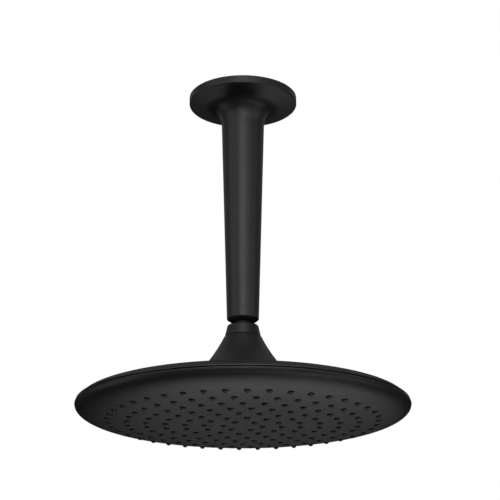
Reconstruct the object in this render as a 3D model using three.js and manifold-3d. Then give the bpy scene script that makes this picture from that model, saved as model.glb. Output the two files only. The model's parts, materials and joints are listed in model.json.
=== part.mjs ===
// Ceiling-mounted rain shower head on a tapered arm, with a ball joint between the arm and the head.
// Millimetres, +Z up. The origin is the centre of the ceiling plane, on the arm's own axis, and the
// object hangs below it. Every piece is a separate named mesh.
import * as THREE from "three";
import { mergeGeometries, mergeVertices } from "three/addons/utils/BufferGeometryUtils.js";
import Module from "manifold-3d";

const wasm = await Module();
wasm.setup();

// ---- Driving dimensions ----

const HEAD_RADIUS = 127;        // the head's largest radius, at the seam between its two shells
const SEAM_Z = -256.4;          // the seam between them, from which the face's depth is measured
const COVER_END_Z = -256.1;     // lower edge of the upper shell
const FACE_TOP_Z = -257;        // upper edge of the face shell
const FACE_DEPTH = 14.9;        // from the seam down to the middle of the face
const FACE_POWER = 3.6;         // how flat the face stays before it turns up
const RIM_POWER = 0.4;          // how tightly it turns up at the rim
const FACE_WALL = 2.2;

const RING_COUNT = 7;           // rings of spray nozzles
const RING_PITCH = 14.64;       // radius of the first ring, and the step to the next
const NOZZLES_PER_STEP = 6;     // ring k holds 6k nozzles
const NOZZLE_TURN = 6;          // degrees that the whole pattern is turned
const NOZZLE_SIDES = 5;
const NOZZLE_BASE_RADIUS = 1.9;
const NOZZLE_TIP_RADIUS = 1.35;
const NOZZLE_HOLE_RADIUS = 2.3;
const NOZZLE_PROUD = 1.7;       // how far a nozzle stands below the face

const FLANGE_RADIUS = 43.5;
const FLANGE_EDGE = 5.9;        // height of the flange's upright edge
const SLEEVE_END_Z = -179.9;
const ARM_TOP_RADIUS = 17.25;   // the tapered arm has this radius at this height
const ARM_TOP_Z = -19.5;
const FILLET_END_Z = -24.5;     // where the flare under the flange meets the taper
const ARM_TAPER = 0.0289;       // loss of radius for each millimetre down
const THREAD_TOP_Z = 15;        // the supply thread stands this far above the ceiling plane
const THREAD_RADIUS = 10.48;    // G1/2
const THREAD_PITCH = 1.814;
const PIPE_RADIUS = 8.5;
const PIPE_BORE_RADIUS = 6.2;
const PIPE_END_Z = -184.3;

const BALL_Z = -201;            // centre of the ball joint
const BALL_RADIUS = 9.6;
const SEAT_INNER_RADIUS = 9.9;
const SEAT_OUTER_RADIUS = 11;
const SOCKET_RADIUS = 11.3;
const NECK_RADIUS = 6.5;
const WATERWAY_RADIUS = 4.6;

const GAP = 0.3;                // clearance between two pieces that touch
const SCREW_COUNT = 12;
const SCREW_CIRCLE_RADIUS = 115.8;
const RIB_COUNT = 6;

const HEAD_SIDES = 36;          // sides of the wide turned pieces
const ARM_SIDES = 28;
const SMALL_SIDES = 20;
const SCREW_SIDES = 6;

// ---- Materials ----

const finish = (color, roughness, metalness) => () =>
  new THREE.MeshStandardMaterial({ color, roughness, metalness });
const mattBlack = finish(0x1b1b1c, 0.5, 0.25);
const mattBlackPlastic = finish(0x1d1d1e, 0.55, 0);
const brass = finish(0xb08d4a, 0.35, 1);
const steel = finish(0x9a9da1, 0.35, 1);
const silicone = finish(0x161617, 0.6, 0);
const seal = finish(0x202020, 0.8, 0);
const acetal = finish(0xd9d7cf, 0.5, 0);

// ---- Solids ----

// Leaves only positions, joins equal vertices and drops triangles that have shrunk to a line.
function closed(geometry) {
  const bare = geometry.index ? geometry.toNonIndexed() : geometry.clone();
  bare.deleteAttribute("normal");
  bare.deleteAttribute("uv");
  const merged = mergeVertices(bare, 1e-4);
  const kept = [];
  for (let i = 0; i < merged.index.count; i += 3) {
    const [a, b, c] = [0, 1, 2].map((step) => merged.index.getX(i + step));
    if (a !== b && b !== c && c !== a) kept.push(a, b, c);
  }
  merged.setIndex(kept);
  return merged;
}

function solidOf(geometry) {
  const shape = closed(geometry);
  const mesh = new wasm.Mesh({
    numProp: 3,
    vertProperties: shape.attributes.position.array,
    triVerts: new Uint32Array(shape.index.array),
  });
  return new wasm.Manifold(mesh);
}

function geometryOf(solid) {
  const mesh = solid.getMesh();
  const geometry = new THREE.BufferGeometry();
  geometry.setAttribute("position", new THREE.BufferAttribute(mesh.vertProperties, 3));
  geometry.setIndex([...mesh.triVerts]);
  return geometry;
}

// Cuts every tool out of the body.
const cut = (body, tools) =>
  geometryOf(tools.reduce((rest, tool) => rest.subtract(solidOf(tool)), solidOf(body)));
const join = (body, others) =>
  geometryOf(others.reduce((all, other) => all.add(solidOf(other)), solidOf(body)));

// A solid of revolution about Z. The profile is [radius, z] pairs, listed down the outside and up the
// inside, and it closes on itself, or starts and ends on the axis.
function turned(profile, sides) {
  const points = profile.map(([radius, z]) => new THREE.Vector2(radius, z)).reverse();
  const [first, last] = [points[0], points[points.length - 1]];
  const onAxis = first.x === 0 && last.x === 0;
  if (!onAxis) points.push(first.clone());
  return closed(new THREE.LatheGeometry(points, sides).rotateX(Math.PI / 2));
}

// A plain ring between two radii and two heights.
const ring = (inner, outer, top, bottom, sides = SMALL_SIDES) =>
  turned([[inner, top], [outer, top], [outer, bottom], [inner, bottom]], sides);

// An O-ring: a small round section carried about Z.
function sealRing(radius, z, section, sides = SMALL_SIDES, corners = 6) {
  const profile = [];
  for (let i = 0; i < corners; i++) {
    const angle = -i * 2 * Math.PI / corners;
    profile.push([radius + section * Math.cos(angle), z + section * Math.sin(angle)]);
  }
  return turned(profile, sides);
}

// Points on a sphere about the ball's centre, from one latitude to another, as [radius, z] pairs.
function ballArc(radius, fromDegrees, toDegrees, steps) {
  const arc = [];
  for (let i = 0; i <= steps; i++) {
    const latitude = THREE.MathUtils.degToRad(fromDegrees + (toDegrees - fromDegrees) * i / steps);
    arc.push([radius * Math.cos(latitude), BALL_Z + radius * Math.sin(latitude)]);
  }
  return arc;
}

// Points along a cubic curve through [radius, z] control points, without its first point.
function curvePoints(controls, steps) {
  const vectors = controls.map(([radius, z]) => new THREE.Vector2(radius, z));
  const points = new THREE.CubicBezierCurve(...vectors).getPoints(steps);
  return points.slice(1).map((point) => [point.x, point.y]);
}

function polygon(x, y, radius, sides, turn = 0) {
  const corners = [];
  for (let i = 0; i < sides; i++) {
    const angle = turn + 2 * Math.PI * i / sides;
    corners.push(new THREE.Vector2(x + radius * Math.cos(angle), y + radius * Math.sin(angle)));
  }
  return corners;
}

// ---- Face and nozzles ----

// Height of the face's outer surface at a radius: a shallow superellipse of revolution.
const faceZ = (radius) =>
  SEAM_Z - FACE_DEPTH * (1 - Math.min(1, radius / HEAD_RADIUS) ** FACE_POWER) ** RIM_POWER;

// Centres of all the nozzles. Every other ring is turned by half a step, which staggers the pattern.
function nozzlePlaces() {
  const places = [];
  for (let ringNumber = 1; ringNumber <= RING_COUNT; ringNumber++) {
    const count = NOZZLES_PER_STEP * ringNumber;
    const radius = RING_PITCH * ringNumber;
    const stagger = ringNumber % 2 ? 0.5 : 0;
    for (let i = 0; i < count; i++) {
      const angle = THREE.MathUtils.degToRad(NOZZLE_TURN + (i + stagger) * 360 / count);
      places.push(new THREE.Vector2(radius * Math.sin(angle), -radius * Math.cos(angle)));
    }
  }
  return places;
}

const NOZZLE_PLACES = nozzlePlaces();

// The same small turned shape at every place, as one geometry of separate bodies.
const repeated = (shape, places) =>
  mergeGeometries(places.map(({ x, y, z = 0 }) => closed(shape.clone().translate(x, y, z)).toNonIndexed()));

const FLAT_RADIUS = 5.5 * RING_PITCH;
const FLAT_Z = SEAM_Z - FACE_DEPTH + 0.4;
const WELL_RADIUS = 108.6;      // the well inside the face shell, which holds the nozzle mat

// Height of the middle of the face at a radius: flat inside the fifth ring of nozzles, and a shallow cone
// from there to the well's edge.
function dishZ(radius) {
  const slope = (faceZ(WELL_RADIUS) - FLAT_Z) / (WELL_RADIUS - FLAT_RADIUS);
  return FLAT_Z + Math.max(0, radius - FLAT_RADIUS) * slope;
}

const dishPoints = (outerRadius, lift) =>
  [outerRadius, FLAT_RADIUS, 0].map((radius) => [radius, dishZ(radius) + lift]);

const LEDGE_Z = -261;           // where the chamber plate rests, round the inside of the face shell
const PILOT_RADIUS = 1.6;
const PILOT_END_Z = -263.6;

// The visible lower shell: perforated face, ledge for the chamber plate, rolled rim and its register lip.
function faceShell() {
  const rolledRim = [126.9, 126.2, 124.6, 121.5, 116.5].map((radius) => [radius, faceZ(radius)]);
  const shell = turned([
    [122.4, -255], [122.4, FACE_TOP_Z], [126.8, FACE_TOP_Z], [HEAD_RADIUS, FACE_TOP_Z - 0.2],
    ...rolledRim,
    ...dishPoints(WELL_RADIUS, 0),
    ...dishPoints(WELL_RADIUS, FACE_WALL).reverse(),
    [WELL_RADIUS, LEDGE_Z], [119, LEDGE_Z], [121, -258.5], [121, -255],
  ], HEAD_SIDES);
  const hole = turned([[0, -262], [NOZZLE_HOLE_RADIUS, -262], [NOZZLE_HOLE_RADIUS, -273],
    [0, -273]], NOZZLE_SIDES);
  const pilot = turned([[0, LEDGE_Z + 1], [PILOT_RADIUS, LEDGE_Z + 1], [PILOT_RADIUS, PILOT_END_Z],
    [0, PILOT_END_Z]], SCREW_SIDES);
  return cut(shell, [repeated(hole, NOZZLE_PLACES), repeated(pilot, screwPlaces())]);
}

// The silicone mat that lies in the face, with all of its nozzles in one piece with it.
function nozzleMat() {
  const matRadius = 107.4;
  const thickness = 1.6;
  const underside = FACE_WALL + GAP;
  const mat = turned([
    ...dishPoints(matRadius, underside),
    ...dishPoints(matRadius, underside + thickness).reverse(),
  ], HEAD_SIDES);
  const reach = underside + NOZZLE_PROUD;
  const root = reach + thickness / 2;
  const nozzle = turned([[0, root], [NOZZLE_BASE_RADIUS, root], [NOZZLE_TIP_RADIUS, 0],
    [0, 0]], NOZZLE_SIDES);
  const tips = NOZZLE_PLACES.map(({ x, y }) => ({ x, y, z: dishZ(Math.hypot(x, y)) - NOZZLE_PROUD }));
  return join(mat, [repeated(nozzle, tips)]);
}

// ---- Water chamber ----

function screwPlaces() {
  return polygon(0, 0, SCREW_CIRCLE_RADIUS, SCREW_COUNT, Math.PI / SCREW_COUNT);
}

const FLANGE_TOP_Z = -257.6;    // top of the chamber plate's screwed flange
const SPIGOT_TOP_Z = -215;
const SPIGOT_BORE_RADIUS = 9;
const SPIGOT_RADIUS = 12;

// The plate that closes the water chamber, with the spigot that carries water down to it.
function chamberPlate() {
  const plate = turned([
    [SPIGOT_BORE_RADIUS, SPIGOT_TOP_Z], [SPIGOT_RADIUS, SPIGOT_TOP_Z], [SPIGOT_RADIUS, -255],
    [16, -258.6], [106, -258.6], [108, FLANGE_TOP_Z], [118.3, FLANGE_TOP_Z], [118.3, -260.7],
    [112.8, -260.7], [112.8, -258.9], [110.2, -258.9], [110.2, -260.7], [107.8, -260.7],
    [107.8, -262.4], [105.2, -262.4], [105.2, -261], [SPIGOT_BORE_RADIUS, -261],
  ], HEAD_SIDES);
  const ribs = [];
  for (let i = 0; i < RIB_COUNT; i++) {
    const rib = new THREE.BoxGeometry(90, 2, 4).translate(57, 0, -257.4);
    ribs.push(rib.rotateZ(2 * Math.PI * (i + 0.5) / RIB_COUNT));
  }
  const clearanceRadius = 1.7;
  const holes = screwPlaces().map(({ x, y }) =>
    turned([[0, -256], [clearanceRadius, -256], [clearanceRadius, -262], [0, -262]], SCREW_SIDES)
      .translate(x, y, 0));
  return cut(join(plate, ribs), holes);
}

// A pan-head screw, standing head up at the origin's height zero.
function chamberScrew() {
  const headTop = 1.8;
  const length = 5.7;
  return turned([[0, headTop], [2.3, headTop], [2.6, 0], [1.3, 0], [1.3, 0.7 - length], [0, -length]],
    SCREW_SIDES);
}

// ---- Upper shell and inlet ----

const LEDGE_TOP_Z = -212.3;     // where the inlet bush clamps the upper shell
const NECK_TOP_Z = -202;
const FLARE = [[14.4, NECK_TOP_Z], [33.7, -240], [51.1, -242.4], [74, -244.8]];
const COVER = [[74, -244.8], [92, -246.6], [114, -247.6], [122.3, -252.2]];

// The visible upper shell: concave cone that flares into the thin cover of the head.
function backShell() {
  const outside = [FLARE[0], ...curvePoints(FLARE, 6), ...curvePoints(COVER, 3), [126.3, -255.5],
    [126.4, COVER_END_Z]];
  const inside = [[122.9, COVER_END_Z], [122.9, -254.9], [117, -252], [92, -248.9], [66, -247], [45, -241.8],
    [30, -230.8], [18.5, -214.6], [9.3, -214.6]];
  const neck = [[9.3, LEDGE_TOP_Z], [SOCKET_RADIUS, LEDGE_TOP_Z], [SOCKET_RADIUS, -208.6], [13, -208.6],
    [13, NECK_TOP_Z]];
  return turned([...outside, ...inside, ...neck], HEAD_SIDES);
}

// The threaded bush that clamps the upper shell to the chamber plate's spigot.
function inletBush() {
  return turned([
    [10.9, -209.9], [10.9, -212], [8.6, -212], [8.6, -222.9], [7.3, -222.9], [7.3, -225.1], [8.6, -225.1],
    [8.6, -228], [5.5, -228], [5.5, -216.1], [7.4, -216.1], [7.4, -209.9],
  ], SMALL_SIDES);
}

function filterScreen() {
  const disc = turned([[0, -210.2], [7.1, -210.2], [7.1, -210.8], [0, -210.8]], SMALL_SIDES);
  const holes = [new THREE.Vector2(), ...polygon(0, 0, 4, 6)].map(({ x, y }) =>
    turned([[0, -209], [1.2, -209], [1.2, -212], [0, -212]], 6).translate(x, y, 0));
  return cut(disc, holes);
}

// ---- Ball joint ----

const armRadius = (z) => ARM_TOP_RADIUS - (ARM_TOP_Z - z) * ARM_TAPER;

// The connector that screws on the pipe's end: a ring flush with the arm, a neck and the hollow ball.
function swivelConnector() {
  return turned([
    [8.8, -168], [10.9, -168], [10.9, -180.2], [armRadius(-180.2), -180.2], [armRadius(-187.4), -187.4],
    [9.9, -189.5], [9.3, -189.5], [9, -188.6], [7.2, -188.6], [NECK_RADIUS, -189.3],
    ...ballArc(BALL_RADIUS, 47.4, -46.8, 10),
    [WATERWAY_RADIUS, BALL_Z - 7], [WATERWAY_RADIUS, -187], [5.9, -185.7], [8.8, -185.7],
  ], SMALL_SIDES);
}

const upperSeat = () => turned([
  ...ballArc(SEAT_OUTER_RADIUS, 32, 8, 3),
  ...ballArc(SEAT_INNER_RADIUS, 8, 32, 3),
], SMALL_SIDES);

const lowerSeat = () => turned([
  [SEAT_OUTER_RADIUS, BALL_Z - 0.9], [SEAT_OUTER_RADIUS, -207.9], [7.8, -207.9],
  ...ballArc(SEAT_INNER_RADIUS, -38, -5.2, 3),
], SMALL_SIDES);

// The collar that screws into the head's neck and holds the ball down on its seats.
function collarNut() {
  return turned([
    [10.3, -192.5], [11.4, -192.8], [12.1, -193.45], [13.92, -201.5], [12.7, -201.5], [12.7, -206.8],
    [SOCKET_RADIUS, -206.8],
    ...ballArc(SOCKET_RADIUS, 0, 37, 5),
    [9.1, -193.6], [9.9, -192.65],
  ], SMALL_SIDES);
}

// ---- Arm ----

const RECESS_Z = -4.2;          // floor of the recess in the flange's top

// One turned piece: the flange that covers the ceiling outlet and the tapered tube below it.
function armSleeve() {
  const flare = [[31, -8.2], [23, -9.4], [18.2, -13.5], [armRadius(FILLET_END_Z), FILLET_END_Z]];
  return turned([
    [39.8, 0], [FLANGE_RADIUS, 0], [FLANGE_RADIUS, -FLANGE_EDGE], [42.9, -6.5], flare[0],
    ...curvePoints(flare, 5),
    [armRadius(SLEEVE_END_Z), SLEEVE_END_Z], [11.2, SLEEVE_END_Z], [11.2, -160], [13.9, -40],
    [13.9, RECESS_Z], [33, RECESS_Z], [34, 0], [36.2, 0], [36.2, -1.4], [39.8, -1.4],
  ], ARM_SIDES);
}

// The brass pipe inside the sleeve, with the thread that screws into the ceiling outlet.
function supplyPipe() {
  const threadCount = 6;
  const rootRadius = THREAD_RADIUS - 1.16;
  const thread = [];
  for (let i = 0; i < threadCount; i++) {
    const rootZ = THREAD_TOP_Z - 0.6 - i * THREAD_PITCH;
    thread.push([rootRadius, rootZ], [THREAD_RADIUS, rootZ - THREAD_PITCH / 2]);
  }
  return turned([
    [PIPE_BORE_RADIUS, THREAD_TOP_Z], [rootRadius, THREAD_TOP_Z], ...thread, [rootRadius, 1.2],
    [PIPE_RADIUS + 1, -1], [PIPE_RADIUS, -3], [PIPE_RADIUS, PIPE_END_Z], [PIPE_BORE_RADIUS, PIPE_END_Z],
  ], SMALL_SIDES);
}

// ---- Assembly ----

const shower = new THREE.Group();
shower.name = "rain_shower_head_on_ceiling_arm";

function add(name, geometry, material) {
  const mesh = new THREE.Mesh(geometry, material());
  mesh.name = name;
  shower.add(mesh);
  return mesh;
}

add("arm_sleeve", armSleeve(), mattBlack);
add("supply_pipe", supplyPipe(), brass);
add("flange_gasket", ring(36.5, 39.5, 0, -1.1, ARM_SIDES), seal);
add("centring_bush", ring(PIPE_RADIUS + GAP, 13.5, -6, -14), acetal);
add("connector_washer", ring(6, 8.4, PIPE_END_Z - GAP, -185.4), seal);
add("swivel_connector", swivelConnector(), mattBlack);

add("upper_seat", upperSeat(), acetal);
add("lower_seat", lowerSeat(), acetal);

add("collar_nut", collarNut(), mattBlack);
add("neck_seal", sealRing(12.15, -207.75, 0.55), seal);
add("seat_washer", ring(7.8, SEAT_OUTER_RADIUS, -208.2, -209.6), seal);
add("inlet_bush", inletBush(), brass);
add("bush_seal", sealRing(8.15, -224, 0.6), seal);
add("filter_screen", filterScreen(), steel);
add("flow_regulator", ring(2.5, 7.1, -211.1, -215.8), acetal);
add("back_shell", backShell(), mattBlackPlastic);
add("chamber_plate", chamberPlate(), mattBlackPlastic);
add("chamber_seal", sealRing(111.5, -259.95, 0.8, HEAD_SIDES, 5), seal);
add("nozzle_mat", nozzleMat(), silicone);
add("face_shell", faceShell(), mattBlackPlastic);
screwPlaces().forEach(({ x, y }, i) => {
  const screw = add(`chamber_screw_${i + 1}`, chamberScrew(), steel);
  screw.position.set(x, y, FLANGE_TOP_Z + GAP);
});

export default shower;
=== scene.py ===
# A ceiling rain shower head: the fine model of every piece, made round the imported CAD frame.
# Shapes are written in millimetres, +Z up, and become metres when a mesh is made.

import json
import math

import bmesh
import bpy
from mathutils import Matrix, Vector


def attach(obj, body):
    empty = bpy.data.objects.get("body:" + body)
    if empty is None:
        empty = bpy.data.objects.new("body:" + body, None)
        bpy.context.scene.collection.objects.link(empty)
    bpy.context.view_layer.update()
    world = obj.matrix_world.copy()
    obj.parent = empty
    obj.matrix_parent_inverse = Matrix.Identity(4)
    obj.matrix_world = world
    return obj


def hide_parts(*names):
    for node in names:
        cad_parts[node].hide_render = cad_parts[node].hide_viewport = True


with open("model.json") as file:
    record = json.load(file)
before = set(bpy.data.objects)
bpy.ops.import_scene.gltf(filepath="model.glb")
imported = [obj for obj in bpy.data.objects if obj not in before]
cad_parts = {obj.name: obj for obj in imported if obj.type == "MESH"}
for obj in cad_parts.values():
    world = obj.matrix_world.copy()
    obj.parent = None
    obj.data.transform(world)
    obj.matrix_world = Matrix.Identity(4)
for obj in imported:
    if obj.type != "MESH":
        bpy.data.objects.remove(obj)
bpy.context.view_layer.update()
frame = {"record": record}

# ---- Sizes that the pieces share, in millimetres ----

HEAD_RADIUS = 127               # the head's largest radius, at the seam between its two shells
SEAM_Z = -256.4                 # the seam between them, from which the face's depth is measured
COVER_END_Z = -256.1            # lower edge of the upper shell
FACE_TOP_Z = -257               # upper edge of the face shell
FACE_DEPTH = 14.9               # from the seam down to the middle of the face
FACE_POWER = 3.6                # how flat the face stays before it turns up
RIM_POWER = 0.4                 # how tightly it turns up at the rim
FACE_WALL = 2.2
WELL_RADIUS = 108.6             # the well inside the face shell, which holds the nozzle mat
SHEET_RADIUS = 108              # the pierced part of the face ends here
LEDGE_Z = -261                  # where the chamber plate rests

RING_COUNT = 7                  # rings of spray nozzles
RING_PITCH = 14.64              # radius of the first ring, and the step to the next
NOZZLES_PER_STEP = 6            # ring k holds 6k nozzles
NOZZLE_TURN = math.radians(6)   # the whole pattern is turned by this
NOZZLE_HOLE_RADIUS = 2.3        # the face's hole round each nozzle
NOZZLE_RADIUS = 2
NOZZLE_BORE_RADIUS = 0.25
NOZZLE_PROUD = 1.7              # how far a nozzle stands below the face
HIGHLIGHT_DEPTHS = (0.7, 1.2)           # the nozzle's paler band, a painted highlight, lies between these depths below the face
MAT_RADIUS = 107.4
MAT_LIFT = FACE_WALL + 0.3      # underside of the nozzle mat above the face's outer surface
MAT_TOP = MAT_LIFT + 1.6

SCREW_COUNT = 12
SCREW_CIRCLE_RADIUS = 115.8
FLANGE_TOP_Z = -257.6           # top of the chamber plate's screwed flange

ARM_TOP = (17.25, -19.5)        # the tapered arm has this radius at this height
ARM_TAPER = 0.0289              # loss of radius for each millimetre down
FLARE_END_Z = -24.5             # where the flare under the flange meets the taper
SLEEVE_END_Z = -180.37          # lower edge of the arm's sleeve
CONNECTOR_TOP_Z = -180.43       # the connector's ring starts here, just below the sleeve
CONNECTOR_END_Z = -187.7        # where that ring turns in to the neck

COLLAR_END_Z = -201.6           # lower edge of the collar nut
CONE_TOP_Z = -202.2             # upper edge of the head's cone
PAINTED_SHADE_Z = -189.6            # the connector's neck and ball are darkened below this height, as painted shade
BALL_Z = -201                   # centre of the ball joint
BALL_RADIUS = 9.6
SEAT_INNER_RADIUS = 9.9
SEAT_OUTER_RADIUS = 11
SOCKET_RADIUS = 11.3

# ---- How finely things are made ----

METRES = 0.001
CELL_SPAN = 6                   # segments along each side of the square cell round a nozzle
CELL_LOOP = 4 * CELL_SPAN
HEAD_SEGMENTS = CELL_SPAN * NOZZLES_PER_STEP * RING_COUNT
ARM_SEGMENTS = 144
SMALL_SEGMENTS = 96
HOLE_SEGMENTS = 24
FILLET_STEP = math.radians(18)
SHARP_ANGLE = math.radians(34)

BODY_OF = {node: body for body, nodes in frame["record"]["behaviour"]["bodies"].items() for node in nodes}
SLOT_OF = {row["node"]: row["material_slot"] for row in frame["record"]["subparts"]}


# ---- Outlines: lists of (radius, height), with an optional fillet radius as a third number ----

def rounded(corners):
    """The closed outline with an arc at each corner that gives a fillet radius."""
    outline = []
    for i, corner in enumerate(corners):
        here = Vector(corner[:2])
        if len(corner) < 3:
            outline.append(here)
            continue
        back = Vector(corners[i - 1][:2]) - here
        ahead = Vector(corners[(i + 1) % len(corners)][:2]) - here
        half = back.angle(ahead) / 2
        run = min(corner[2] / math.tan(half), 0.48 * back.length, 0.48 * ahead.length)
        back.normalize()
        ahead.normalize()
        centre = here + (back + ahead).normalized() * (run / math.cos(half))
        start = here + back * run - centre
        end = here + ahead * run - centre
        steps = max(2, math.ceil((math.pi - 2 * half) / FILLET_STEP))
        for step in range(steps + 1):
            direction = start.normalized().slerp(end.normalized(), step / steps)
            outline.append(centre + direction * start.length)
    return [tuple(point) for point in outline]


def curve(controls, steps):
    """Points along a cubic curve, without its first point."""
    a, b, c, d = [Vector(control) for control in controls]
    points = []
    for step in range(1, steps + 1):
        t = step / steps
        s = 1 - t
        points.append(tuple(a * s ** 3 + b * 3 * s * s * t + c * 3 * s * t * t + d * t ** 3))
    return points


def ball_arc(radius, start, end, steps=12):
    """Points on a sphere about the ball's centre, from one latitude to another."""
    points = []
    for step in range(steps + 1):
        latitude = math.radians(start + (end - start) * step / steps)
        points.append((radius * math.cos(latitude), BALL_Z + radius * math.sin(latitude)))
    return points


def box_ring(inner, outer, top, bottom, fillet):
    """The outline of a plain ring with rounded edges."""
    return [(inner, top, fillet), (outer, top, fillet), (outer, bottom, fillet), (inner, bottom, fillet)]


def face_z(radius):
    """Height of the face's outer surface: a shallow superellipse of revolution."""
    share = min(1, radius / HEAD_RADIUS)
    return SEAM_Z - FACE_DEPTH * (1 - share ** FACE_POWER) ** RIM_POWER


def arm_radius(z):
    return ARM_TOP[0] - (ARM_TOP[1] - z) * ARM_TAPER


# ---- Meshes ----

class Surface:
    """Points in millimetres and the faces between them."""

    def __init__(self):
        self.points = []
        self.faces = []

    def add(self, points):
        first = len(self.points)
        self.points += points
        return list(range(first, len(self.points)))

    def bridge(self, one, other):
        """Quads between two closed loops of equal length."""
        for i in range(len(one)):
            j = (i + 1) % len(one)
            self.faces.append((one[i], one[j], other[j], other[i]))

    def fan(self, loop, centre):
        for i in range(len(loop)):
            self.faces.append((loop[i], loop[(i + 1) % len(loop)], centre))

    def zip(self, one, one_start, other, other_start):
        """Triangles between two loops about Z, of different lengths, which start at the given angles."""
        one_step = 2 * math.pi / len(one)
        other_step = 2 * math.pi / len(other)
        skip = round((one_start - other_start) / other_step)
        offset = other_start + skip * other_step - one_start
        i = j = 0
        while i < len(one) or j < len(other):
            a = one[i % len(one)]
            b = other[(skip + j) % len(other)]
            if j == len(other) or (i < len(one) and (i + 1) * one_step <= offset + (j + 1) * other_step):
                i += 1
                self.faces.append((a, one[i % len(one)], b))
            else:
                j += 1
                self.faces.append((a, other[(skip + j) % len(other)], b))

    def moved(self, x, y):
        self.points = [(px + x, py + y, pz) for px, py, pz in self.points]
        return self

    def mesh(self, name):
        made = bpy.data.meshes.new(name)
        made.from_pydata([[METRES * value for value in point] for point in self.points], [], self.faces)
        return outward(made)


def outward(mesh):
    """Turns all faces outwards, shades the mesh smooth and keeps its true edges sharp."""
    work = bmesh.new()
    work.from_mesh(mesh)
    bmesh.ops.recalc_face_normals(work, faces=work.faces)
    work.to_mesh(mesh)
    work.free()
    mesh.shade_smooth()
    mesh.set_sharp_from_angle(angle=SHARP_ANGLE)
    return mesh


def circle(radius, z, segments, start=0):
    """Points round Z, from the front (-Y) towards +X."""
    angles = [start + 2 * math.pi * i / segments for i in range(segments)]
    return [(radius * math.sin(angle), -radius * math.cos(angle), z) for angle in angles]


def turned(outline, segments=SMALL_SEGMENTS, shape=None):
    """A solid of revolution about Z. The outline closes on itself, or starts and ends on the axis.
    A shape function may change a point's radius by its height and angle."""
    surface = Surface()
    loops = []
    for radius, z in outline:
        if radius == 0:
            loops.append(surface.add([(0, 0, z)]))
        elif shape is None:
            loops.append(surface.add(circle(radius, z, segments)))
        else:
            points = []
            for i in range(segments):
                angle = 2 * math.pi * i / segments
                points += circle(shape(radius, z, angle), z, 1, angle)
            loops.append(surface.add(points))
    pairs = list(zip(loops, loops[1:]))
    if outline[0][0] or outline[-1][0]:
        pairs.append((loops[-1], loops[0]))
    for one, other in pairs:
        if len(other) == 1:
            surface.fan(one, other[0])
        elif len(one) == 1:
            surface.fan(other, one[0])
        else:
            surface.bridge(one, other)
    return surface


def o_ring(radius, z, section, segments=SMALL_SEGMENTS):
    corners = 20
    angles = [2 * math.pi * i / corners for i in range(corners)]
    return turned([(radius + section * math.cos(a), z + section * math.sin(a)) for a in angles], segments)


def rows(radius, top, bottom, step):
    """Closely spaced points down a straight wall, for a thread to be cut in."""
    count = round((top - bottom) / step)
    return [(radius, top + (bottom - top) * i / count) for i in range(count + 1)]


def thread(root, crest, pitch, top, bottom):
    """A shape function that cuts a single-start helical thread between two heights."""
    lead_in = 0.8

    def shape(radius, z, angle):
        if radius < crest - 0.01 or not bottom <= z <= top:
            return radius
        turn = (z / pitch + angle / (2 * math.pi)) % 1
        # Sloped flanks between a narrow flat root and a narrow flat crest.
        wave = min(1, max(0, 2.6 * abs(turn - 0.5) - 0.15))
        fade = min(1, (z - bottom) / pitch)
        cut = root + (crest - root) * wave * fade
        return min(cut, root + max(0, top - z) * (crest - root) / lead_in)
    return shape


# ---- Pieces ----

def show(node, mesh, place=(0, 0, 0)):
    """Puts a fine mesh in the place of a CAD node, on that node's body and with its finish."""
    piece = bpy.data.objects.new(node + "_fine", mesh)
    bpy.context.scene.collection.objects.link(piece)
    piece.location = [METRES * value for value in place]
    piece.data.materials.append(MATERIALS[SLOT_OF[node]])
    weighted = piece.modifiers.new("weighted_normals", "WEIGHTED_NORMAL")
    weighted.keep_sharp = True
    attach(piece, BODY_OF[node])
    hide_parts(node)
    return piece


def show_turned(node, corners, segments=SMALL_SEGMENTS):
    return show(node, turned(rounded(corners), segments).mesh(node))


def refinish(piece, material, chosen):
    """Gives another material to the faces whose middle, in millimetres, passes a test."""
    piece.data.materials.append(material)
    for face in piece.data.polygons:
        if chosen(face.center / METRES):
            face.material_index = 1


def combined(mesh, tools, operation):
    """The mesh with the tools joined to it or cut out of it."""
    body = bpy.data.objects.new("body", mesh)
    bpy.context.scene.collection.objects.link(body)
    added = [body]
    for tool in tools:
        other = bpy.data.objects.new("tool", tool)
        bpy.context.scene.collection.objects.link(other)
        added.append(other)
        step = body.modifiers.new("step", "BOOLEAN")
        step.operation = operation
        step.solver = "EXACT"
        step.object = other
    result = bpy.data.meshes.new_from_object(body.evaluated_get(bpy.context.evaluated_depsgraph_get()))
    for one in added:
        bpy.data.objects.remove(one)
    return outward(result)


# ---- Materials ----

def base_material(name, colour, roughness, metallic=0.0):
    material = bpy.data.materials.new(name)
    material.use_nodes = True
    shader = material.node_tree.nodes["Principled BSDF"]
    shader.inputs["Base Color"].default_value = (*colour, 1)
    shader.inputs["Roughness"].default_value = roughness
    shader.inputs["Metallic"].default_value = metallic
    return material


def node_of(material, kind, **settings):
    node = material.node_tree.nodes.new(kind)
    for name, value in settings.items():
        setattr(node, name, value)
    return node


def link(material, output, target):
    material.node_tree.links.new(output, target)


def object_place(material):
    return node_of(material, "ShaderNodeTexCoord").outputs["Object"]


def turned_place(material):
    """The place as distance from the axis and height, so that a texture runs round the piece in rings."""
    split = node_of(material, "ShaderNodeSeparateXYZ")
    link(material, object_place(material), split.inputs[0])
    flat = node_of(material, "ShaderNodeCombineXYZ")
    link(material, split.outputs["X"], flat.inputs["X"])
    link(material, split.outputs["Y"], flat.inputs["Y"])
    distance = node_of(material, "ShaderNodeVectorMath", operation="LENGTH")
    link(material, flat.outputs[0], distance.inputs[0])
    place = node_of(material, "ShaderNodeCombineXYZ")
    link(material, distance.outputs["Value"], place.inputs["X"])
    link(material, split.outputs["Z"], place.inputs["Y"])
    return place.outputs[0]


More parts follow.
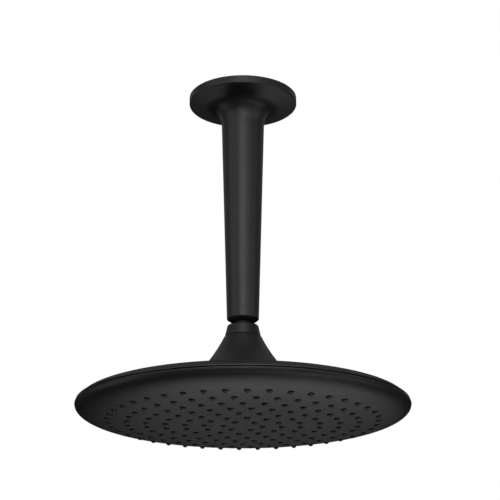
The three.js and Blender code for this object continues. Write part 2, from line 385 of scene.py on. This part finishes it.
def noise(material, place, scale, detail=2.0):
    texture = node_of(material, "ShaderNodeTexNoise")
    texture.inputs["Scale"].default_value = scale
    texture.inputs["Detail"].default_value = detail
    link(material, place, texture.inputs["Vector"])
    return texture.outputs["Fac"]


def ranged(material, value, low, high):
    """Spreads the middle of a noise over a range."""
    spread = node_of(material, "ShaderNodeMapRange")
    for name, number in (("From Min", 0.3), ("From Max", 0.7), ("To Min", low), ("To Max", high)):
        spread.inputs[name].default_value = number
    link(material, value, spread.inputs["Value"])
    return spread.outputs[0]


def vary_roughness(material, value, low, high):
    shader = material.node_tree.nodes["Principled BSDF"]
    link(material, ranged(material, value, low, high), shader.inputs["Roughness"])


def vary_colour(material, value, dark, light):
    shader = material.node_tree.nodes["Principled BSDF"]
    mix = node_of(material, "ShaderNodeMix", data_type="RGBA")
    mix.inputs["A"].default_value = (*dark, 1)
    mix.inputs["B"].default_value = (*light, 1)
    link(material, ranged(material, value, 0, 1), mix.inputs["Factor"])
    link(material, mix.outputs["Result"], shader.inputs["Base Color"])


def add_bump(material, heights):
    """Stacks bumps, each a noise and its depth in metres."""
    shader = material.node_tree.nodes["Principled BSDF"]
    below = None
    for value, depth in heights:
        bump = node_of(material, "ShaderNodeBump")
        bump.inputs["Distance"].default_value = depth
        link(material, value, bump.inputs["Height"])
        if below:
            link(material, below, bump.inputs["Normal"])
        below = bump.outputs[0]
    link(material, below, shader.inputs["Normal"])


def powder_coat():
    """Matt black powder coat: a fine pebbled skin over metal."""
    material = base_material("black_powder_coat", (0.012, 0.012, 0.013), 0.45)
    place = object_place(material)
    cloud = noise(material, place, 60)
    pebble = noise(material, place, 1500, 1)
    grain = noise(material, place, 4500, 3)
    vary_colour(material, cloud, (0.0105, 0.0105, 0.0115), (0.0135, 0.0135, 0.0145))
    vary_roughness(material, grain, 0.40, 0.50)
    add_bump(material, [(pebble, 0.000012), (grain, 0.000006)])
    return material


def coated_plastic():
    """Matt black coat over moulded ABS: smoother than the powder coat."""
    material = base_material("black_coated_plastic", (0.012, 0.012, 0.013), 0.45)
    place = object_place(material)
    cloud = noise(material, place, 40)
    peel = noise(material, place, 700, 1)
    grain = noise(material, place, 4000, 3)
    vary_colour(material, cloud, (0.0105, 0.0105, 0.0115), (0.0135, 0.0135, 0.0145))
    vary_roughness(material, grain, 0.41, 0.49)
    add_bump(material, [(peel, 0.000008), (grain, 0.000004)])
    return material


def inner_plastic():
    """Plain moulded plastic, with the faint flow marks of its mould."""
    material = base_material("inner_moulded_plastic", (0.03, 0.03, 0.032), 0.5)
    place = object_place(material)
    flow = noise(material, place, 90, 4)
    grain = noise(material, place, 3000, 2)
    vary_colour(material, flow, (0.026, 0.026, 0.028), (0.034, 0.034, 0.036))
    vary_roughness(material, flow, 0.42, 0.56)
    add_bump(material, [(grain, 0.000006)])
    return material


def silicone():
    """Soft black silicone, with a faint bloom on it."""
    material = base_material("nozzle_silicone", (0.005, 0.005, 0.006), 0.42)
    shader = material.node_tree.nodes["Principled BSDF"]
    shader.inputs["Specular IOR Level"].default_value = 0.3
    place = object_place(material)
    bloom = noise(material, place, 220, 3)
    grain = noise(material, place, 5000, 2)
    vary_colour(material, bloom, (0.004, 0.004, 0.005), (0.007, 0.007, 0.008))
    vary_roughness(material, bloom, 0.38, 0.46)
    add_bump(material, [(grain, 0.000005)])
    return material


def painted_highlight_silicone():
    """Painted highlight: the same silicone made far paler and a little smoother, in a ring round each
    nozzle's curved side where a highlight falls.
    """
    material = base_material("nozzle_painted_highlight", (0.08, 0.08, 0.08), 0.4)
    shader = material.node_tree.nodes["Principled BSDF"]
    shader.inputs["Specular IOR Level"].default_value = 0.4
    place = object_place(material)
    cloud = noise(material, place, 900, 3)
    grain = noise(material, place, 6000, 2)
    vary_colour(material, cloud, (0.07, 0.07, 0.07), (0.095, 0.095, 0.095))
    vary_roughness(material, cloud, 0.36, 0.44)
    add_bump(material, [(grain, 0.000004)])
    return material


def rubber():
    material = base_material("seal_rubber", (0.02, 0.02, 0.02), 0.75)
    place = object_place(material)
    bloom = noise(material, place, 400, 3)
    grain = noise(material, place, 6000, 2)
    vary_colour(material, bloom, (0.016, 0.016, 0.016), (0.026, 0.026, 0.026))
    vary_roughness(material, bloom, 0.68, 0.85)
    add_bump(material, [(grain, 0.00001)])
    return material


def painted_shade_finish():
    """Painted shade: a darker, duller finish on the ball and its neck, for the shade in the slot between the
    connector and the collar, with a little random variation in tone.
    """
    material = base_material("ball_painted_shade", (0.004, 0.004, 0.004), 0.5)
    shader = material.node_tree.nodes["Principled BSDF"]
    shader.inputs["Specular IOR Level"].default_value = 0.2
    rings = noise(material, turned_place(material), 2500, 2)
    mottle = noise(material, object_place(material), 300, 3)
    vary_colour(material, mottle, (0.003, 0.003, 0.003), (0.006, 0.006, 0.006))
    vary_roughness(material, mottle, 0.44, 0.56)
    add_bump(material, [(rings, 0.000004)])
    return material


def acetal():
    """White acetal, turned: faint rings from the tool and a little light through it."""
    material = base_material("white_acetal", (0.72, 0.71, 0.67), 0.4)
    shader = material.node_tree.nodes["Principled BSDF"]
    shader.inputs["Subsurface Weight"].default_value = 0.15
    shader.inputs["Subsurface Scale"].default_value = 0.001
    rings = noise(material, turned_place(material), 3000, 2)
    cloud = noise(material, object_place(material), 150)
    vary_colour(material, cloud, (0.69, 0.68, 0.64), (0.74, 0.73, 0.70))
    vary_roughness(material, rings, 0.34, 0.48)
    add_bump(material, [(rings, 0.000004)])
    return material


def machined(name, dark, light, low, high):
    """Turned metal: fine rings from the tool, and cloudy handling marks."""
    material = base_material(name, light, (low + high) / 2, 1.0)
    rings = noise(material, turned_place(material), 4000, 3)
    cloud = noise(material, object_place(material), 120, 4)
    vary_colour(material, cloud, dark, light)
    vary_roughness(material, cloud, low, high)
    add_bump(material, [(rings, 0.000006)])
    return material


MATERIALS = {
    "black_metal": powder_coat(),
    "black_plastic": coated_plastic(),
    "inner_plastic": inner_plastic(),
    "nozzle_silicone": silicone(),
    "seal_rubber": rubber(),
    "acetal": acetal(),
    "brass": machined("machined_brass", (0.52, 0.36, 0.14), (0.66, 0.47, 0.20), 0.22, 0.38),
    "steel": machined("stainless_steel", (0.44, 0.44, 0.45), (0.56, 0.56, 0.57), 0.25, 0.40),
}


# ---- Arm ----

def arm_sleeve():
    """One turned piece: the flange that covers the ceiling outlet and the tapered tube below it."""
    flare = curve([(31, -8.2), (23, -9.4), (18.2, -13.5), (arm_radius(FLARE_END_Z), FLARE_END_Z)], 36)
    show_turned("arm_sleeve", [
        (39.8, 0, 0.2), (43.5, 0, 0.4), (43.5, -5.9, 0.35), (42.9, -6.5, 0.35), *flare,
        (arm_radius(SLEEVE_END_Z), SLEEVE_END_Z, 0.05), (11.2, SLEEVE_END_Z, 0.3), (11.2, -160, 0.5),
        (13.9, -40, 2), (13.9, -4.2, 0.4), (33, -4.2, 0.8), (34, 0, 0.3), (36.2, 0, 0.2),
        (36.2, -1.4, 0.1), (39.8, -1.4, 0.1),
    ], ARM_SEGMENTS)


def supply_pipe():
    """The brass pipe inside the sleeve, with the helical thread that screws into the ceiling outlet."""
    crest = 10.48
    root = 9.32
    pitch = 1.814
    bore = 6.2
    top = 15
    thread_end = 1.2
    outline = rounded([(bore, top, 0.3), (root, top), (crest, top - 0.05)])
    outline += rows(crest, top - 0.1, thread_end, 0.15)
    outline += rounded([(crest - 0.02, thread_end - 0.05), (9.5, -1, 0.4), (8.5, -3, 0.8), (8.5, -184.3, 0.4),
                        (bore, -184.3, 0.4)])
    shape = thread(root, crest, pitch, top, thread_end)
    show("supply_pipe", turned(outline, SMALL_SEGMENTS, shape).mesh("supply_pipe"))


def swivel_connector():
    """The ring flush with the arm, the neck below it and the hollow ball; the neck and ball get a darker
    finish, which is painted shade.
    """
    piece = show_turned("swivel_connector", [
        (8.8, -168, 0.4), (10.9, -168, 0.4), (10.9, CONNECTOR_TOP_Z, 0.1),
        (arm_radius(CONNECTOR_TOP_Z), CONNECTOR_TOP_Z, 0.05),
        (arm_radius(CONNECTOR_END_Z), CONNECTOR_END_Z, 0.25),
        (9.9, -189.5, 0.2), (9.3, -189.5, 0.15), (9, -188.6, 0.2),
        (7.2, -188.6, 0.3), (6.5, -189.3, 0.6), *ball_arc(BALL_RADIUS, 47.4, -46.8, 40), (4.6, -208, 0.3),
        (4.6, -187, 0.5), (5.9, -185.7, 0.3), (8.8, -185.7, 0.2),
    ], ARM_SEGMENTS)
    # The neck and ball are given the darker finish: painted shade.
    refinish(piece, painted_shade_finish(), lambda middle: middle.z < PAINTED_SHADE_Z)


arm_sleeve()
supply_pipe()
swivel_connector()
show_turned("flange_gasket", box_ring(36.5, 39.5, 0, -1.1, 0.3), ARM_SEGMENTS)
show_turned("centring_bush", [
    (8.8, -6, 0.4), (13.5, -6, 0.6), (13.5, -9, 0.1), (13.1, -9.3, 0.1), (13.1, -10.7, 0.1), (13.5, -11, 0.1),
    (13.5, -14, 0.6), (8.8, -14, 0.4),
])
show_turned("connector_washer", box_ring(6, 8.4, -184.6, -185.4, 0.15))

# ---- Ball joint ----

show_turned("upper_seat", [*ball_arc(SEAT_OUTER_RADIUS, 32, 8), *ball_arc(SEAT_INNER_RADIUS, 8, 32)])
show_turned("lower_seat", [
    (SEAT_OUTER_RADIUS, -201.9, 0.15), (SEAT_OUTER_RADIUS, -207.9, 0.3), (7.8, -207.9, 0.1),
    *ball_arc(SEAT_INNER_RADIUS, -38, -5.2),
])
show_turned("collar_nut", [
    (10.3, -192.5, 0.2), (11.4, -192.8, 0.4), (12.1, -193.45, 0.5), (13.95, COLLAR_END_Z, 0.2),
    (12.7, COLLAR_END_Z, 0.1), (12.7, -206.8, 0.3), (SOCKET_RADIUS, -206.8, 0.2),
    *ball_arc(SOCKET_RADIUS, 0, 37, 16), (9.1, -193.6, 0.3), (9.9, -192.65, 0.15),
], ARM_SEGMENTS)
show("neck_seal", o_ring(12.15, -207.75, 0.55).mesh("neck_seal"))
show_turned("seat_washer", box_ring(7.8, SEAT_OUTER_RADIUS, -208.2, -209.6, 0.25))

# ---- Inlet ----

show_turned("inlet_bush", [
    (10.9, -209.9, 0.2), (10.9, -212, 0.2), (8.6, -212, 0.2), (8.6, -222.9, 0.2), (7.3, -222.9, 0.1),
    (7.3, -225.1, 0.1), (8.6, -225.1, 0.2), (8.6, -228, 0.4), (5.5, -228, 0.4), (5.5, -216.1, 0.2),
    (7.4, -216.1, 0.1), (7.4, -209.9, 0.2),
])
show("bush_seal", o_ring(8.15, -224, 0.6).mesh("bush_seal"))
show_turned("flow_regulator", [
    (2.5, -211.1, 0.3), (5.2, -211.1, 0.2), (5.6, -211.7, 0.2), (7.1, -211.7, 0.3), (7.1, -215.8, 0.4),
    (4.4, -215.8, 0.3), (2.5, -214.2, 0.3),
])


# ---- Sheets pierced by rings of round holes ----

def sheet_cells(surface, ring_count, pitch, turn, outer_radius, height):
    """A sheet about Z made of square cells, 6k of them in ring k, and a plain middle. Gives the cells, each
    with its centre and its open loop of points, and the sheet's outer loop with its first angle."""
    gap = 0.025 * pitch
    centre = surface.add([(0, 0, height(0))])[0]
    cells = []
    for ring in range(1, ring_count + 1):
        count = NOZZLES_PER_STEP * ring
        step = 2 * math.pi / count
        start = turn + ((ring % 2) / 2 - 0.5) * step
        segments = CELL_SPAN * count
        radii = [(ring - 0.5) * pitch + gap, (ring + 0.5) * pitch - gap]
        if ring == 1:
            radii[0] = 0.5 * pitch
        if ring == ring_count:
            radii[1] = outer_radius
        inner, outer = [surface.add(circle(r, height(r), segments, start)) for r in radii]
        sides = []
        for i in range(count):
            angle = start + i * step
            side = []
            for t in range(1, CELL_SPAN):
                r = radii[1] + (radii[0] - radii[1]) * t / CELL_SPAN
                side += surface.add(circle(r, height(r), 1, angle))
            sides.append(side)
        for i in range(count):
            arc = [(i * CELL_SPAN + t) % segments for t in range(CELL_SPAN + 1)]
            half = CELL_SPAN // 2
            loop = [outer[t] for t in arc[half:]] + sides[(i + 1) % count]
            loop += [inner[t] for t in reversed(arc)] + sides[i][::-1] + [outer[t] for t in arc[:half]]
            cells.append((ring * pitch, start + (i + 0.5) * step, loop))
        if ring == 1:
            middle = surface.add(circle(radii[0] / 2, height(radii[0] / 2), segments, start))
            surface.bridge(inner, middle)
            surface.fan(middle, centre)
        else:
            surface.zip(loop_before, start_before, inner, start)
        loop_before, start_before = outer, start
    return cells, loop_before, start_before


def cell_loop(radius, angle, size, height, lift, follow):
    """A round loop inside a cell. follow is 1 where it lies on the sheet, and 0 where it is level."""
    out = Vector((math.sin(angle), -math.cos(angle)))
    along = Vector((math.cos(angle), math.sin(angle)))
    points = []
    for i in range(CELL_LOOP):
        turn = 2 * math.pi * i / CELL_LOOP
        place = out * (radius + size * math.cos(turn)) + along * size * math.sin(turn)
        level = height(radius) * (1 - follow) + height(place.length) * follow
        points.append((place.x, place.y, level + lift))
    return points


def line_cells(surface, lower, upper, height, lower_lift, upper_lift, chain):
    """Fills each cell of two sheets, one above the other, and joins them by a chain of round loops.
    Each link of the chain is (radius, lift above the outer face, follow)."""
    for (radius, angle, low_loop), (_, _, high_loop) in zip(lower, upper):
        loops = [low_loop, eased(surface, low_loop, radius, angle, chain[0], height, lower_lift)]
        for size, lift, follow in chain:
            loops.append(surface.add(cell_loop(radius, angle, size, height, lift, follow)))
        loops += [eased(surface, high_loop, radius, angle, chain[-1], height, upper_lift), high_loop]
        for one, other in zip(loops, loops[1:]):
            surface.bridge(one, other)


def eased(surface, loop, radius, angle, link, height, lift):
    """A loop half way between a cell's square edge and the first round loop inside it."""
    round_loop = cell_loop(radius, angle, link[0], height, lift, 1)
    points = []
    for index, inner in zip(loop, round_loop):
        edge = surface.points[index]
        x = edge[0] * 0.45 + inner[0] * 0.55
        y = edge[1] * 0.45 + inner[1] * 0.55
        points.append((x, y, height(math.hypot(x, y)) + lift))
    return surface.add(points)


def lathe_on(surface, first_loop, start, outline, last_loop):
    """Turns an outline from one loop of a sheet round to the loop of another."""
    loops = [first_loop]
    for radius, z in outline:
        loops.append(surface.add(circle(radius, z, len(first_loop), start)))
    loops.append(last_loop)
    for one, other in zip(loops, loops[1:]):
        surface.bridge(one, other)


# ---- Face shell and nozzle mat ----

def raised_face(lift):
    return lambda radius: face_z(radius) + lift


def rim_points(count):
    """Points up the rolled rim from the pierced sheet's edge to the seam, evenly spaced in height."""
    bottom = (SEAM_Z - face_z(SHEET_RADIUS)) / FACE_DEPTH
    top = 0.06
    points = []
    for i in range(1, count + 1):
        depth = bottom + (top - bottom) * i / count
        radius = HEAD_RADIUS * (1 - depth ** (1 / RIM_POWER)) ** (1 / FACE_POWER)
        points.append((radius, SEAM_Z - FACE_DEPTH * depth))
    return points


def face_shell():
    """The visible lower shell: pierced face, rolled rim, register lip and the ledge for the chamber plate."""
    surface = Surface()
    sheets = [sheet_cells(surface, RING_COUNT, RING_PITCH, NOZZLE_TURN, SHEET_RADIUS, raised_face(lift))
              for lift in (0, FACE_WALL)]
    (lower, lower_edge, start), (upper, upper_edge, _) = sheets
    hole = NOZZLE_HOLE_RADIUS
    chain = [(hole + 0.7, 0, 1), (hole + 0.32, 0, 1), (hole + 0.16, 0.04, 1), (hole + 0.05, 0.15, 1),
             (hole, 0.35, 1), (hole, FACE_WALL - 0.2, 1), (hole + 0.06, FACE_WALL - 0.06, 1),
             (hole + 0.2, FACE_WALL, 1), (hole + 0.7, FACE_WALL, 1)]
    line_cells(surface, lower, upper, face_z, 0, FACE_WALL, chain)
    rim = rim_points(26)
    inside = rounded([
        rim[-1], (HEAD_RADIUS, FACE_TOP_Z, 0.15), (122.4, FACE_TOP_Z, 0.15), (122.4, -255, 0.2),
        (121, -255, 0.2), (121, -258.5, 0.4), (119, LEDGE_Z, 0.4), (WELL_RADIUS, LEDGE_Z, 0.3),
        (WELL_RADIUS, face_z(WELL_RADIUS) + FACE_WALL),
    ])
    lathe_on(surface, lower_edge, start, rim + inside[1:], upper_edge)
    pilots = screw_holes(1.2, LEDGE_Z + 1, -263.6)
    show("face_shell", combined(surface.mesh("face_shell"), pilots, "DIFFERENCE"))


def in_painted_highlight(middle):
    """Whether a point of the nozzle mat lies in the ring round a nozzle that is painted paler as a highlight.
    """
    depth = face_z(math.hypot(middle.x, middle.y)) - middle.z
    return HIGHLIGHT_DEPTHS[0] < depth < HIGHLIGHT_DEPTHS[1]


def nozzle_mat():
    """The silicone mat that lies in the face, with its 168 bored nozzles in one piece with it."""
    surface = Surface()
    edge = MAT_RADIUS - 0.5
    sheets = [sheet_cells(surface, RING_COUNT, RING_PITCH, NOZZLE_TURN, edge, raised_face(lift))
              for lift in (MAT_LIFT, MAT_TOP)]
    (lower, lower_edge, start), (upper, upper_edge, _) = sheets
    tip = -NOZZLE_PROUD
    bore = NOZZLE_BORE_RADIUS
    latitudes = [math.radians(degrees) for degrees in range(10, -81, -12)]
    chain = [(2.6, MAT_LIFT, 1), (2.2, MAT_LIFT - 0.03, 0.8), (2.04, MAT_LIFT - 0.15, 0.3),
             (1.97, MAT_LIFT - 0.4, 0)]
    chain += [(NOZZLE_RADIUS * math.cos(t), NOZZLE_PROUD * math.sin(t), 1) for t in latitudes]
    chain += [(bore + 0.02, tip + 0.06, 1), (bore, tip + 0.15, 1), (bore, 0.9, 0),
              (1.2, 2.6, 0), (1.3, MAT_TOP - 0.35, 0), (1.42, MAT_TOP - 0.08, 0.5), (1.65, MAT_TOP, 1),
              (2.6, MAT_TOP, 1)]
    line_cells(surface, lower, upper, face_z, MAT_LIFT, MAT_TOP, chain)
    low = face_z(MAT_RADIUS) + MAT_LIFT
    high = face_z(MAT_RADIUS) + MAT_TOP
    rim = [(MAT_RADIUS - 0.15, low + 0.05), (MAT_RADIUS, low + 0.2), (MAT_RADIUS, high - 0.2),
           (MAT_RADIUS - 0.15, high - 0.05)]
    lathe_on(surface, lower_edge, start, rim, upper_edge)
    # The ring round each nozzle gets the paler silicone: a painted highlight.
    refinish(show("nozzle_mat", surface.mesh("nozzle_mat")), painted_highlight_silicone(), in_painted_highlight)


def filter_screen():
    """The steel disc that keeps grit out of the inlet, pierced by rings of small holes."""
    surface = Surface()
    top = -210.2
    bottom = -210.8
    pitch = 1.6
    rings = 4
    edge = 6.95
    heights = [lambda radius: bottom, lambda radius: top]
    (lower, lower_edge, start), (upper, upper_edge, _) = [
        sheet_cells(surface, rings, pitch, 0, edge, height) for height in heights]
    hole = 0.42
    bevel = 0.06
    thickness = top - bottom
    chain = [(hole + bevel, 0, 1), (hole, bevel, 1), (hole, thickness - bevel, 1),
             (hole + bevel, thickness, 1)]
    line_cells(surface, lower, upper, heights[0], 0, thickness, chain)
    rim = [(edge + 0.15, bottom + 0.05), (edge + 0.15, top - 0.05)]
    lathe_on(surface, lower_edge, start, rim, upper_edge)
    show("filter_screen", surface.mesh("filter_screen"))


# ---- Upper shell ----

def back_shell():
    """The visible upper shell: concave cone that flares into the thin cover of the head."""
    flare = [(14.5, CONE_TOP_Z), (33.7, -240), (51.1, -242.4), (74, -244.8)]
    cover = [(74, -244.8), (92, -246.6), (114, -247.6), (122.3, -252.2)]
    shoulder = curve(cover, 30)
    show_turned("back_shell", [
        (*flare[0], 0.2), *curve(flare, 90), *shoulder[:-1], (*shoulder[-1], 4), (126.3, -255.2, 0.3),
        (126.35, COVER_END_Z, 0.1), (122.9, COVER_END_Z, 0.2), (122.9, -254.9, 0.4), (117, -252, 3),
        (92, -248.9, 20), (66, -247, 30), (45, -241.8, 20), (30, -230.8, 20), (18.5, -214.6, 1.5),
        (9.3, -214.6, 0.3), (9.3, -212.3, 0.2), (SOCKET_RADIUS, -212.3, 0.2), (SOCKET_RADIUS, -208.6, 0.2),
        (13, -208.6, 0.2), (13, CONE_TOP_Z, 0.3),
    ], HEAD_SEGMENTS)


# ---- Water chamber ----

def screw_places():
    places = []
    for i in range(SCREW_COUNT):
        angle = 2 * math.pi * (i + 0.5) / SCREW_COUNT
        places.append((SCREW_CIRCLE_RADIUS * math.cos(angle), SCREW_CIRCLE_RADIUS * math.sin(angle)))
    return places


def screw_holes(radius, top, bottom):
    """A round cutter at each screw's place."""
    outline = [(0, top), (radius, top), (radius, bottom), (0, bottom)]
    return [turned(outline, HOLE_SEGMENTS).moved(x, y).mesh("hole") for x, y in screw_places()]


def bar(size, place, turn):
    """A block with its middle at a place, turned about Z."""
    surface = Surface()
    cos, sin = math.cos(turn), math.sin(turn)
    corners = []
    for side_z in (-0.5, 0.5):
        for side_x, side_y in ((-0.5, -0.5), (0.5, -0.5), (0.5, 0.5), (-0.5, 0.5)):
            x = place[0] + side_x * size[0]
            y = place[1] + side_y * size[1]
            corners.append((x * cos - y * sin, x * sin + y * cos, place[2] + side_z * size[2]))
    loops = surface.add(corners)
    surface.bridge(loops[:4], loops[4:])
    surface.faces += [tuple(loops[:4]), tuple(loops[4:])]
    return surface


def chamber_plate():
    """The plate that closes the water chamber, with its spigot, ribs, seal groove and screw holes."""
    outline = rounded([
        (9, -215, 0.3), (12, -215, 0.5), (12, -255, 2), (16, -258.6, 2), (106, -258.6, 0.5),
        (108, FLANGE_TOP_Z, 0.5), (118.3, FLANGE_TOP_Z, 0.4), (118.3, -260.7, 0.2), (112.8, -260.7, 0.1),
        (112.8, -258.9, 0.1), (110.2, -258.9, 0.1), (110.2, -260.7, 0.1), (107.8, -260.7, 0.1),
        (107.8, -262.4, 0.3), (105.2, -262.4, 0.3), (105.2, -261, 0.2), (9, -261, 0.4),
    ])
    rib_count = 6
    ribs = [bar((90, 2, 4), (57, 0, -257.4), 2 * math.pi * (i + 0.5) / rib_count) for i in range(rib_count)]
    plate = combined(turned(outline, HEAD_SEGMENTS).mesh("plate"), [rib.mesh("rib") for rib in ribs], "UNION")
    show("chamber_plate", combined(plate, screw_holes(1.7, -256, -262), "DIFFERENCE"))


def chamber_screws():
    """Pan-head screws with a cross recess and a coarse thread, each with its head's base on the flange."""
    crest = 1.3
    root = 0.95
    pitch = 0.9
    thread_top = -0.2
    thread_end = -5
    dome = curve([(0, 1.8), (1.4, 1.8), (2.5, 1.5), (2.55, 0.7)], 10)
    outline = [(0, 1.8), *dome, (2.6, 0.2), (2.5, 0.02), (crest, 0)]
    outline += rows(crest, thread_top, thread_end, 0.1) + [(0.5, -5.6), (0, -5.7)]
    blank = turned(outline, 36, thread(root, crest, pitch, thread_top, thread_end)).mesh("screw")
    recess = [bar((2.6, 0.55, 1.6), (0, 0, 1.7), turn).mesh("recess") for turn in (0, math.pi / 2)]
    screw = combined(blank, recess, "DIFFERENCE")
    for i, (x, y) in enumerate(screw_places()):
        show(f"chamber_screw_{i + 1}", screw.copy(), (x, y, FLANGE_TOP_Z + 0.3))


filter_screen()
back_shell()
chamber_plate()
show("chamber_seal", o_ring(111.5, -259.95, 0.8, HEAD_SEGMENTS).mesh("chamber_seal"))
nozzle_mat()
face_shell()
chamber_screws()


# ---- Stage, light and camera ----

def floor():
    """A plain pale floor under the object. It shows evenly pale and isn't mirrored in the object."""
    z = -2.3
    half = 14
    mesh = bpy.data.meshes.new("floor")
    corners = [(-half, -half, z), (half, -half, z), (half, half, z), (-half, half, z)]
    mesh.from_pydata(corners, [], [(0, 1, 2, 3)])
    plane = bpy.data.objects.new("floor", mesh)
    bpy.context.scene.collection.objects.link(plane)
    material = bpy.data.materials.new("pale_floor")
    material.use_nodes = True
    nodes = material.node_tree.nodes
    nodes.clear()
    pale = nodes.new("ShaderNodeEmission")
    pale.inputs["Color"].default_value = (1, 1, 1, 1)
    link(material, pale.outputs[0], nodes.new("ShaderNodeOutputMaterial").inputs["Surface"])
    mesh.materials.append(material)
    plane.visible_diffuse = False
    plane.visible_glossy = False
    plane.visible_shadow = False


def surroundings():
    """White behind the object, and nearly dark where it is mirrored in the object."""
    world = bpy.data.worlds.new("studio")
    world.use_nodes = True
    bpy.context.scene.world = world
    nodes = world.node_tree.nodes
    nodes.clear()
    dim = nodes.new("ShaderNodeBackground")
    dim.inputs["Color"].default_value = (0.005, 0.005, 0.005, 1)
    white = nodes.new("ShaderNodeBackground")
    white.inputs["Color"].default_value = (1, 1, 1, 1)
    mix = nodes.new("ShaderNodeMixShader")
    output = nodes.new("ShaderNodeOutputWorld")
    links = world.node_tree.links
    links.new(nodes.new("ShaderNodeLightPath").outputs["Is Camera Ray"], mix.inputs[0])
    links.new(dim.outputs[0], mix.inputs[1])
    links.new(white.outputs[0], mix.inputs[2])
    links.new(mix.outputs[0], output.inputs["Surface"])


def soft_light(name, azimuth, elevation, width, height, power):
    """A soft box that faces the object. Azimuth 0 is the camera's side, and 90 is +X."""
    distance = 2
    target = Vector((0, 0, -0.15))
    a = math.radians(azimuth)
    e = math.radians(elevation)
    away = Vector((math.sin(a) * math.cos(e), -math.cos(a) * math.cos(e), math.sin(e)))
    data = bpy.data.lights.new(name, "AREA")
    data.shape = "RECTANGLE"
    data.size = width
    data.size_y = height
    data.energy = power
    lamp = bpy.data.objects.new(name, data)
    lamp.location = target + away * distance
    lamp.rotation_euler = (-away).to_track_quat("-Z", "Y").to_euler()
    lamp.visible_camera = False
    bpy.context.scene.collection.objects.link(lamp)


def camera():
    """The photograph's camera, low in front of the object, fitted to its round outlines."""
    data = bpy.data.cameras.new("camera")
    data.lens = 102.12
    data.sensor_width = 36
    data.shift_x = 0.0142
    eye = bpy.data.objects.new("camera", data)
    eye.location = (0, -1.05435, -0.49432)
    eye.rotation_euler = (math.radians(90 + 19.022), 0, 0)
    bpy.context.scene.collection.objects.link(eye)
    bpy.context.scene.camera = eye


floor()
surroundings()
soft_light("front", -3, 11, 1.2, 1.1, 13.9)
soft_light("front_right", 30, 8, 0.9, 0.9, 4.4)
soft_light("right", 68, 8, 1.6, 0.9, 4.2)
soft_light("left", -62, 15, 1.7, 1.3, 6.8)
soft_light("front_high", -3, 40, 0.35, 0.5, 1.3)
soft_light("top_front", 0, 52, 2.6, 1.0, 5.6)
soft_light("low_left", -95, -25, 1.2, 1.0, 2.8)
soft_light("low_right", 84, -34, 1.2, 0.9, 2.3)
soft_light("under_right", 60, -58, 1.1, 0.8, 3.2)
soft_light("under_front", 0, -64, 0.8, 0.7, 0.9)
soft_light("low_back", 174, -43, 1.1, 0.8, 3.05)
soft_light("under_back", 165, -64, 1.6, 0.8, 1.9)
soft_light("top_back", 180, 65, 2.6, 1.0, 2.8)
soft_light("back_left", -135, 25, 1.4, 1.4, 1.8)
soft_light("back_right", 135, 25, 1.4, 1.4, 1.6)
camera()
bpy.context.scene.view_settings.view_transform = "Standard"
